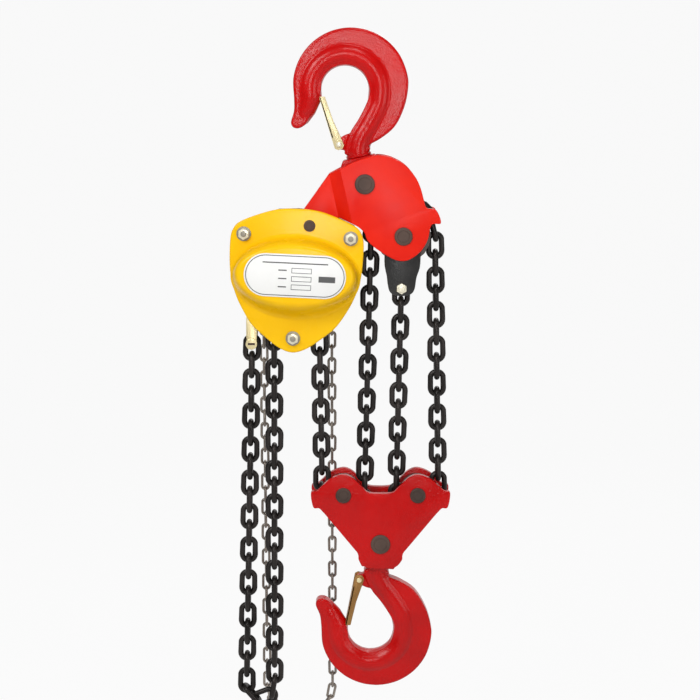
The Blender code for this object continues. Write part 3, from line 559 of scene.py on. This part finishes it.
# Lower block: two flat steel plates of one outline, flame-cut and in red enamel like the hooks.
# They stand over a pair of sheaves, with ears that guide the chain, and a welded spacer ties them.
BLOCK_X = 61.6
SPACER_EDGE = 1.0
BLOCK_HALF = (
    (18.0, -735.0), (31.0, -725.0), (49.0, -708.0), (66.0, -702.5), (87.0, -710.0), (103.0, -724.0),
    (111.0, -731.0), (121.0, -734.5), (117.0, -760.0), (107.0, -762.0), (100.0, -769.0), (93.0, -777.0),
    (48.0, -832.0), (41.0, -840.5), (38.5, -847.0), (37.5, -855.0), (27.0, -867.0), (10.0, -870.0),
)
block_line = [(BLOCK_X + x, z) for x, z in BLOCK_HALF] + [(BLOCK_X - x, z) for x, z in BLOCK_HALF[::-1]]
for name, side in (("lower_front_plate", -1), ("lower_rear_plate", 1)):
    faces = sorted((side * PLATE_IN, side * (PLATE_IN + PLATE_T)))
    plate = plate_of(smooth_loop(block_line, steps=5), *faces)
    rounded(plate, PLATE_EDGE, segments=3, degrees=60)
    fitted(plate, name + "_cutting", RED_ENAMEL, "lower_block", (name,))
spacer = eased_copy("lower_spacer", SPACER_EDGE)
fitted(spacer, "lower_spacer_block", RED_ENAMEL, "lower_block", ("lower_spacer",))

# Pins: turned steel, oiled dark, pressed through both plates and chamfered.
# A shallow ring is turned into each end, which is the only face with more than four corners.
OILED_STEEL = finish_of(
    "oiled_steel", (0.12, 0.076, 0.06), (0.05, 0.034, 0.028), (0.4, 0.55), metal=0.4, grain=500,
)
PIN_SIDES = 64
PIN_CHAMFER = 1.4
RING_SHARE = 0.24
RING_WALL = 0.6
RING_DEPTH = 0.8
QUAD = 4


def real_box(node):
    """The two corners of a CAD node's box, in millimetres."""
    return (Vector(corner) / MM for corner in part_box(node))


for name, body in (
    ("top_hook_pin", "frame"), ("upper_sheave_pin", "frame"), ("hanging_pin", "frame"),
    ("lower_left_pin", "lower_block"), ("lower_right_pin", "lower_block"),
    ("bottom_hook_pin", "lower_block"),
):
    low, high = real_box(name)
    radius = (high.x - low.x) / 2
    centre = ((low.x + high.x) / 2, (low.z + high.z) / 2)
    pin = bar_of(centre, radius, low.y, high.y, PIN_CHAMFER, PIN_SIDES)
    bpy.ops.object.mode_set(mode="EDIT")
    bpy.ops.mesh.select_all(action="DESELECT")
    edit = bmesh.from_edit_mesh(pin.data)
    for face in edit.faces:
        face.select_set(len(face.verts) > QUAD)
    bmesh.update_edit_mesh(pin.data)
    bpy.ops.mesh.inset(thickness=radius * RING_SHARE * MM)
    bpy.ops.mesh.inset(thickness=RING_WALL * MM, depth=-RING_DEPTH * MM)
    bpy.ops.object.mode_set(mode="OBJECT")
    fitted(pin, name + "_turned", OILED_STEEL, body, (name,))

# Sheaves: cast iron wheels with a turned groove, blackened by the chain.
# Three idle on their pins, and the load sheave is turned by the gears inside the body.
WORN_IRON = finish_of("worn_iron", (0.16, 0.14, 0.13), (0.07, 0.06, 0.055), (0.45, 0.6), metal=0.7)
SHEAVE_EDGE = 0.6
for name, body in (
    ("upper_sheave", "upper_sheave_body"), ("lower_left_sheave", "left_sheave_body"),
    ("lower_right_sheave", "right_sheave_body"), ("load_sheave", "load_body"),
):
    fitted(eased_copy(name, SHEAVE_EDGE), name + "_casting", WORN_IRON, body, (name,))

# Covers: a steel pressing with a flat flange and an oval dome over the gears, in golden enamel.
# The hanging pin ends in its upper flange. A round pressing covers the hand wheel at the rear.
AXIS = (-84.1, -351.2)
BODY_TILT = 2.7
COVER_BACK = -28.9
FLANGE_FRONT = -35.5
DOME_FRONT = -77.5
FLANGE_EDGE = 3.0
COVER_HALF = (
    (0.0, 110.0), (35.0, 107.5), (69.0, 97.0), (98.0, 84.0), (109.0, 72.0), (113.5, 55.0), (113.5, 18.0),
    (110.0, -12.0), (101.0, -41.0), (88.0, -67.0), (71.0, -92.0), (47.0, -113.0), (23.0, -130.0),
    (0.0, -137.0),
)
DOME_STEPS = (
    (111.0, 74.0, 0.0), (108.5, 70.0, 2.0), (106.5, 66.0, 7.0), (104.5, 61.5, 21.0), (102.5, 57.0, 33.0),
    (99.5, 52.5, 39.0), (96.5, 48.5, 41.4), (93.5, 45.0, 42.0),
)
DOME_DROP = 6.0
DOME_SIDES = 96
REAR_EDGE = 2.5
GOLD_ENAMEL = finish_of(
    "gold_enamel", (0.94, 0.55, 0.004), (0.9, 0.5, 0.003), (0.22, 0.32), depth=0.1, coat=0.08, shine=0.12,
)
body_place = hung(AXIS, BODY_TILT)
cover_line = [*COVER_HALF, *((-x, z) for x, z in COVER_HALF[-2:0:-1])]
flange = plate_of(smooth_loop(cover_line, steps=5), FLANGE_FRONT, COVER_BACK)
rounded(flange, FLANGE_EDGE, segments=4, degrees=60)
bpy.ops.object.select_all(action="DESELECT")
bpy.ops.mesh.primitive_circle_add(vertices=DOME_SIDES, fill_type="NGON", radius=MM)
dome = bpy.context.object
bpy.ops.object.mode_set(mode="EDIT")
bpy.ops.transform.rotate(value=math.radians(90), orient_axis="X", center_override=(0, 0, 0))
bpy.ops.transform.translate(value=(0, FLANGE_FRONT * MM, 0))
wide, tall, out = 1.0, 1.0, 0.0
for next_wide, next_tall, next_out in DOME_STEPS:
    bpy.ops.mesh.extrude_region_move(TRANSFORM_OT_translate={"value": (0, (out - next_out) * MM, 0)})
    grow = (next_wide / wide, 1, next_tall / tall)
    bpy.ops.transform.resize(value=grow, center_override=(0, 0, 0))
    wide, tall, out = next_wide, next_tall, next_out
for vert in bmesh.from_edit_mesh(dome.data).verts:
    rise = (FLANGE_FRONT - vert.co.y / MM) / DOME_STEPS[-1][2]
    vert.co.z -= DOME_DROP * (1 - rise) * MM
bmesh.update_edit_mesh(dome.data)
bpy.ops.mesh.select_all(action="SELECT")
bpy.ops.mesh.normals_make_consistent(inside=False)
bpy.ops.object.mode_set(mode="OBJECT")
cover = joined(flange, dome)
cover.matrix_world = body_place
fitted(cover, "gear_cover_pressing", GOLD_ENAMEL, "frame", ("gear_cover",), smooth=50)
rear_cover = eased_copy("hand_wheel_cover", REAR_EDGE)
fitted(rear_cover, "hand_wheel_cover_pressing", GOLD_ENAMEL, "frame", ("hand_wheel_cover",))

# Rating plate: white enamelled sheet with round ends, stuck to the dome's flat top.
# It is printed with a thin dark border, boxes and bars.
PLATE_WHITE = finish_of("plate_white", (0.86, 0.86, 0.84), (0.8, 0.8, 0.78), (0.3, 0.4), depth=0.05)
PRINT_GREY = finish_of("print_grey", (0.12, 0.12, 0.12), (0.08, 0.08, 0.08), (0.45, 0.55), depth=0.05)
LABEL_HALF = 86.0
LABEL_TALL = 36.5
LABEL_BACK = DOME_FRONT - 0.3
LABEL_FRONT = DOME_FRONT - 1.6
LABEL_EDGE = 0.4
PRINT_BACK = LABEL_FRONT + 0.1
PRINT_FRONT = LABEL_FRONT - 0.15
BORDER_IN = 2.5
BORDER_LINE = 1.4
BOX_LINE = 1.0
ROWS = (9.0, -5.0, -19.0)
BOX_X = (-6.0, 28.0)
BOX_HALF = 4.5
DASH_X = (-28.0, -14.0)
DASH_HALF = 1.0
TITLE_BAR = (-55.0, 55.0, 20.5, 22.5)
SIDE_BAR = (40.0, 68.0, -9.0, 1.0)


def round_ended(half, tall):
    """An oblong about the origin whose ends are half circles."""
    line = [on_circle((half - tall, 0), tall, degrees) for degrees in range(-90, 91, 6)]
    return line + [on_circle((tall - half, 0), tall, degrees) for degrees in range(90, 271, 6)]


def frame_line(line, width):
    """A printed outline: a flat ring, inset, emptied and drawn out."""
    mark = flat_ring(line, PRINT_BACK)
    bpy.ops.object.mode_set(mode="EDIT")
    bpy.ops.mesh.select_mode(type="FACE")
    bpy.ops.mesh.select_all(action="SELECT")
    bpy.ops.mesh.inset(thickness=width * MM)
    bpy.ops.mesh.delete(type="FACE")
    bpy.ops.mesh.select_all(action="SELECT")
    drawn_out(PRINT_FRONT - PRINT_BACK)
    bpy.ops.mesh.select_mode(type="VERT")
    bpy.ops.object.mode_set(mode="OBJECT")
    return mark


def oblong(x0, x1, z0, z1):
    """The four corners of an upright oblong."""
    return [(x0, z0), (x1, z0), (x1, z1), (x0, z1)]


label = plate_of(round_ended(LABEL_HALF, LABEL_TALL), LABEL_FRONT, LABEL_BACK)
rounded(label, LABEL_EDGE, segments=2, degrees=60)
label.matrix_world = body_place
fitted(label, "rating_plate", PLATE_WHITE, "frame", ("name_plate",))
marks = [frame_line(round_ended(LABEL_HALF - BORDER_IN, LABEL_TALL - BORDER_IN), BORDER_LINE)]
for row in ROWS:
    marks.append(frame_line(oblong(*BOX_X, row - BOX_HALF, row + BOX_HALF), BOX_LINE))
    marks.append(plate_of(oblong(*DASH_X, row - DASH_HALF, row + DASH_HALF), PRINT_FRONT, PRINT_BACK))
for bar in (TITLE_BAR, SIDE_BAR):
    marks.append(plate_of(oblong(*bar), PRINT_FRONT, PRINT_BACK))
print_marks = joined(*marks)
print_marks.matrix_world = body_place
fitted(print_marks, "rating_plate_print", PRINT_GREY, "frame")

# Stay bolts: dull studs with bright zinc hexagon nuts on washers, at three corners of the cover.
# Each stud runs through both side plates and their spacer to a nut at the rear.
STAYS = ((-91.0, 63.5), (91.0, 63.5), (0.0, -112.0))
DULL_ZINC = finish_of(
    "dull_zinc", (0.36, 0.34, 0.28), (0.24, 0.22, 0.18), (0.35, 0.5), metal=0.5, grain=500, depth=0.1,
)
STUD_R = 4.8
STUD_OUT = 2.4
STUD_EDGE = 1.0
STUD_SIDES = 32
STAY_SPACER_R = 10.5
STAY_SPACER_HALF = 21.0
STAY_SPACER_EDGE = 0.6
WASHER_R = 12.4
WASHER = (FLANGE_FRONT - 2.0, FLANGE_FRONT - 0.2)
WASHER_EDGE = 0.4
NUT_R = 10.0
NUT_TALL = 7.5
NUT_EDGE = 1.0
NUT_GAP = 0.1
NUT_SIDES = 6
for number, stay in enumerate(STAYS, 1):
    name = f"stay_bolt_{number}"
    low, high = real_box(name)
    stud = joined(
        bar_of(stay, STUD_R, low.y, high.y, STUD_EDGE, STUD_SIDES),
        bar_of(stay, STAY_SPACER_R, -STAY_SPACER_HALF, STAY_SPACER_HALF, STAY_SPACER_EDGE),
        bar_of(stay, WASHER_R, *WASHER, WASHER_EDGE),
    )
    stud.matrix_world = body_place
    fitted(stud, name + "_stud", DULL_ZINC, "frame", (name,), smooth=25)
    nuts = joined(
        bar_of(stay, NUT_R, low.y + STUD_OUT, WASHER[0] - NUT_GAP, NUT_EDGE, NUT_SIDES),
        bar_of(stay, NUT_R, high.y - STUD_OUT - NUT_TALL, high.y - STUD_OUT, NUT_EDGE, NUT_SIDES),
    )
    nuts.matrix_world = body_place
    fitted(nuts, name + "_nuts", BRIGHT_ZINC, "frame", smooth=25)

# Chain anchor: a fork of black painted steel, two cheeks and a bridge, on the upper sheave's pin.
# A zinc bolt with a nut at each end holds the last link between the cheeks.
BLACK_PAINT = finish_of("black_paint", (0.022, 0.021, 0.02), (0.012, 0.012, 0.012), (0.25, 0.38), coat=0.3)
ANCHOR_CHEEK = (
    (68.0, -335.0), (72.0, -360.0), (74.5, -379.0), (80.0, -388.0), (90.0, -391.5), (104.0, -391.5),
    (114.0, -388.0), (119.5, -379.0), (122.5, -360.0), (129.0, -335.0), (127.0, -280.0), (112.0, -262.0),
    (87.0, -262.0), (72.0, -280.0),
)
ANCHOR_OUT = 21.4
ANCHOR_IN = 17.5
ANCHOR_EDGE = 1.2
BRIDGE = (74.0, 122.0, -358.0, -349.0)
BRIDGE_HALF = 20.9
ANCHOR_BOLT = (97.0, -379.0)
ANCHOR_BOLT_R = 6.0
ANCHOR_NUT_R = 9.5
ANCHOR_NUT_IN = 6.0
ANCHOR_NUT_OUT = 1.5
anchor_line = smooth_loop(ANCHOR_CHEEK, steps=4)
anchor = joined(
    plate_of(anchor_line, -ANCHOR_OUT, -ANCHOR_IN),
    plate_of(anchor_line, ANCHOR_IN, ANCHOR_OUT),
    plate_of(oblong(*BRIDGE), -BRIDGE_HALF, BRIDGE_HALF),
)
rounded(anchor, ANCHOR_EDGE, segments=3, degrees=60)
fitted(anchor, "chain_anchor_fork", BLACK_PAINT, "frame", ("chain_anchor",))
low, high = real_box("anchor_bolt")
nut_faces = (
    (low.y + ANCHOR_NUT_OUT, low.y + ANCHOR_NUT_IN), (high.y - ANCHOR_NUT_IN, high.y - ANCHOR_NUT_OUT),
)
anchor_bolt = joined(
    bar_of(ANCHOR_BOLT, ANCHOR_BOLT_R, low.y, high.y, STUD_EDGE, STUD_SIDES),
    *(bar_of(ANCHOR_BOLT, ANCHOR_NUT_R, *faces, NUT_EDGE, NUT_SIDES) for faces in nut_faces),
)
fitted(anchor_bolt, "anchor_bolt_set", BRIGHT_ZINC, "frame", ("anchor_bolt",), smooth=25)

# Tail bracket: a cream zinc fork that hangs from the body and holds the chain's free end.
# Its screw has a slotted round head; the slot is painted shade, a thin dark sheet laid on the head's face.
TAIL_PIN = (-161.0, -474.0)
TAIL_EDGE = 1.0
TAIL_HEAD_R = 10.0
TAIL_HEAD = (-27.5, -24.5)
SLOT_LONG = 12.0
SLOT_WIDE = 3.6
SLOT_SHADE_FACES = (TAIL_HEAD[0] - 0.15, TAIL_HEAD[0] + 0.5)
bracket = eased_copy("tail_bracket", TAIL_EDGE)
fitted(bracket, "tail_bracket_fork", PALE_ZINC, "frame", ("tail_bracket",))
head = bar_of(TAIL_PIN, TAIL_HEAD_R, *TAIL_HEAD, TAIL_EDGE)
fitted(head, "tail_screw_head", PALE_ZINC, "frame")
# Painted shade: a thin sheet of dark oiled steel on the screw head stands for the shade inside its slot.
across = (TAIL_PIN[0] - SLOT_LONG / 2, TAIL_PIN[0] + SLOT_LONG / 2)
slot_shade = plate_of(oblong(*across, TAIL_PIN[1] - SLOT_WIDE / 2, TAIL_PIN[1] + SLOT_WIDE / 2), *SLOT_SHADE_FACES)
fitted(slot_shade, "tail_screw_slot_shade", OILED_STEEL, "frame")

# Load chain: alloy steel wire, bent and welded to links and blackened. One length runs from the
# tail bracket over the load sheave, down and up through the block and to the anchor.
# Each link lies on a chord of that path, turned a quarter from the one before.
PITCH = 30.0
WIRE = 9.8
LINK_HALF = 11.3
LINK_TURNS = 24
LINK_SIDES = 12
HAIR = 1e-6
LOAD_POCKETS = 8
LOAD_R = LOAD_POCKETS * PITCH / (2 * math.pi)
UPPER_PIN = (99.5, -288.5)
UPPER_R = 55.0
LEFT_PIN = (-3.1, -739.0)
RIGHT_PIN = (126.3, -739.0)
LOWER_R = 37.0
SLACK_X = (-176.0, -126.0)
SLACK_BOTTOM = -1096.0
TAIL_LEAD = 5.0
ANCHOR_LEAD = 6.0
WRAP_BEFORE = 0.6
WRAP_AFTER = 0.3
RISE_LINKS = 6
BLACK_OXIDE = finish_of("black_oxide", (0.036, 0.03, 0.028), (0.015, 0.013, 0.012), (0.3, 0.45), metal=0.5)


def link_of(pitch, wire, half, turns, sides):
    """One link along Z: a ring of wire, its two halves drawn apart."""
    bpy.ops.object.select_all(action="DESELECT")
    bpy.ops.mesh.primitive_torus_add(
        major_segments=turns, minor_segments=sides, major_radius=half * MM, minor_radius=wire / 2 * MM,
        rotation=(math.radians(90), 0, 0),
    )
    link = bpy.context.object
    bpy.ops.object.transform_apply()
    stretch = (pitch / 2 + wire / 2 - half) * MM
    for vert in link.data.vertices:
        vert.co.z += math.copysign(stretch, vert.co.z + HAIR)
    return link


def line_run(start, end):
    """A straight run of a path: its length, and the point at a distance along it."""
    length = math.dist(start, end)
    return length, lambda s: tuple(a + (b - a) * s / length for a, b in zip(start, end))


def arc_run(centre, radius, first, last):
    """A round run of a path, between two angles."""
    way = math.copysign(1.0, last - first)
    length = radius * abs(last - first)
    return length, lambda s: on_circle(centre, radius, math.degrees(first + way * s / radius))


def along(runs, s):
    """The point at a distance along a path, which goes on past its end."""
    for length, place in runs:
        if s <= length:
            return place(s)
        s -= length
    return place(length + s)


def in_line(point):
    """The depth of the load chain, which runs in the plane of its sheaves."""
    return 0.0


def chain_of(link, runs, first, last, pitch, depth=in_line):
    """Copies of a link on the chords first to last - 1 of a path, joined."""
    copies = []
    for index in range(first, last):
        foot, tip = along(runs, index * pitch), along(runs, (index + 1) * pitch)
        start = Vector((foot[0], depth(foot), foot[1]))
        end = Vector((tip[0], depth(tip), tip[1]))
        ahead = (end - start).normalized()
        across = Vector((0, 1, 0)) if index % 2 else ahead.cross(Vector((0, 1, 0)))
        across = (across - ahead * across.dot(ahead)).normalized()
        copy = link.copy()
        copy.data = link.data.copy()
        scene.collection.objects.link(copy)
        turned = Matrix((across, ahead.cross(across), ahead)).transposed().to_4x4()
        copy.matrix_world = Matrix.Translation((start + end) / 2 * MM) @ turned
        copies.append(copy)
    return joined(*copies)


runs = [
    line_run((TAIL_PIN[0], TAIL_PIN[1] + TAIL_LEAD), (SLACK_X[0], SLACK_BOTTOM)),
    arc_run((sum(SLACK_X) / 2, SLACK_BOTTOM), (SLACK_X[1] - SLACK_X[0]) / 2, math.pi, 2 * math.pi),
    line_run((SLACK_X[1], SLACK_BOTTOM), (AXIS[0] - LOAD_R, AXIS[1])),
    arc_run(AXIS, LOAD_R, math.pi, 0),
    line_run((AXIS[0] + LOAD_R, AXIS[1]), (LEFT_PIN[0] - LOWER_R, LEFT_PIN[1])),
    arc_run(LEFT_PIN, LOWER_R, math.pi, 2 * math.pi),
    line_run((LEFT_PIN[0] + LOWER_R, LEFT_PIN[1]), (UPPER_PIN[0] - UPPER_R, UPPER_PIN[1])),
    arc_run(UPPER_PIN, UPPER_R, math.pi, 0),
    line_run((UPPER_PIN[0] + UPPER_R, UPPER_PIN[1]), (RIGHT_PIN[0] + LOWER_R, RIGHT_PIN[1])),
    arc_run(RIGHT_PIN, LOWER_R, 0, -math.pi),
    line_run((RIGHT_PIN[0] - LOWER_R, RIGHT_PIN[1]), (ANCHOR_BOLT[0], ANCHOR_BOLT[1] + ANCHOR_LEAD)),
]
ends = [0.0]
for length, place in runs:
    ends.append(ends[-1] + length)
links = 2 * round((ends[-1] / PITCH - 1) / 2) + 1
step = ends[-1] / links


def wrap(run):
    """The first link on a round run of the path and the first past it, with a little to spare."""
    return math.floor(ends[run] / step - WRAP_BEFORE), math.ceil(ends[run + 1] / step + WRAP_AFTER)


load_wrap = wrap(3)
left_wrap = wrap(5)
right_wrap = wrap(9)
load_link = link_of(step, WIRE, LINK_HALF, LINK_TURNS, LINK_SIDES)
for node, first, last, body in (
    ("slack_chain", 0, load_wrap[0], "frame"),
    ("sheave_chain", *load_wrap, "frame"),
    ("fall_1_upper", load_wrap[1], left_wrap[0] - RISE_LINKS, "frame"),
    ("fall_1_lower", left_wrap[0] - RISE_LINKS, left_wrap[0], "lower_block"),
    ("left_wrap", *left_wrap, "lower_block"),
    ("fall_2_lower", left_wrap[1], left_wrap[1] + RISE_LINKS, "lower_block"),
    ("upper_chain", left_wrap[1] + RISE_LINKS, right_wrap[0] - RISE_LINKS, "frame"),
    ("fall_3_lower", right_wrap[0] - RISE_LINKS, right_wrap[0], "lower_block"),
    ("right_wrap", *right_wrap, "lower_block"),
    ("fall_4_lower", right_wrap[1], right_wrap[1] + RISE_LINKS, "lower_block"),
    ("fall_4_upper", right_wrap[1] + RISE_LINKS, links, "frame"),
):
    chain = chain_of(load_link, runs, first, last, step)
    fitted(chain, node + "_links", BLACK_OXIDE, body, (node,), smooth=60)
    # Each lower fall is given a mesh of its own.
    if node.endswith("lower"):
        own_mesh(chain)
bpy.data.objects.remove(load_link)

# Hand chain: thin plated wire, bent and welded to the links of an endless loop.
# It runs over the hand wheel behind the body and hangs a little back below it.
HAND_PITCH = 23.7
HAND_WIRE = 4.8
HAND_HALF = 5.9
HAND_TURNS = 20
HAND_SIDES = 8
HAND_POCKETS = 16
HAND_R = HAND_POCKETS * HAND_PITCH / (2 * math.pi)
HAND_Y = 70.0
HAND_SET_BACK = 40.0
HAND_BOTTOM = -1132.0
DULL_PLATING = finish_of(
    "dull_plating", (0.34, 0.3, 0.26), (0.18, 0.15, 0.13), (0.35, 0.5), metal=0.8, grain=400,
)
hand_left, hand_right = AXIS[0] - HAND_R, AXIS[0] + HAND_R
hand_lead = (hand_left, AXIS[1] - 2 * HAND_PITCH)


def hand_depth(point):
    """The depth of the hand chain, which leans back below its wheel."""
    drop = max(0.0, hand_lead[1] - point[1]) / (hand_lead[1] - HAND_BOTTOM)
    return HAND_Y + HAND_SET_BACK * drop


hand_runs = [
    line_run(hand_lead, (hand_left, HAND_BOTTOM)),
    arc_run((AXIS[0], HAND_BOTTOM), HAND_R, math.pi, 2 * math.pi),
    line_run((hand_right, HAND_BOTTOM), (hand_right, AXIS[1])),
    arc_run(AXIS, HAND_R, 0, math.pi),
    line_run((hand_left, AXIS[1]), hand_lead),
]
hand_length = sum(length for length, place in hand_runs)
hand_links = 2 * round(hand_length / HAND_PITCH / 2)
hand_step = hand_length / hand_links
over = math.ceil((hand_runs[3][0] + hand_runs[4][0]) / hand_step) + 1
off = hand_links - over
hand_link = link_of(hand_step, HAND_WIRE, HAND_HALF, HAND_TURNS, HAND_SIDES)
for node, first, last in (("hand_chain", 0, off), ("hand_wheel_chain", off, hand_links)):
    chain = chain_of(hand_link, hand_runs, first, last, hand_step, hand_depth)
    fitted(chain, node + "_links", DULL_PLATING, "frame", (node,), smooth=60)
bpy.data.objects.remove(hand_link)

# Works inside the body: steel gears, brake discs, pawls and side plates, seen only through the gaps.
# They keep their CAD shapes and take a finish of oiled steel or brake lining.
LINING = finish_of(
    "brake_lining", (0.22, 0.13, 0.08), (0.14, 0.08, 0.05), (0.8, 0.95), grain=600, depth=0.5,
)
for name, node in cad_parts.items():
    if node.hide_render:
        continue
    node.data.materials.clear()
    node.data.materials.append(LINING if name.endswith("lining") else OILED_STEEL)
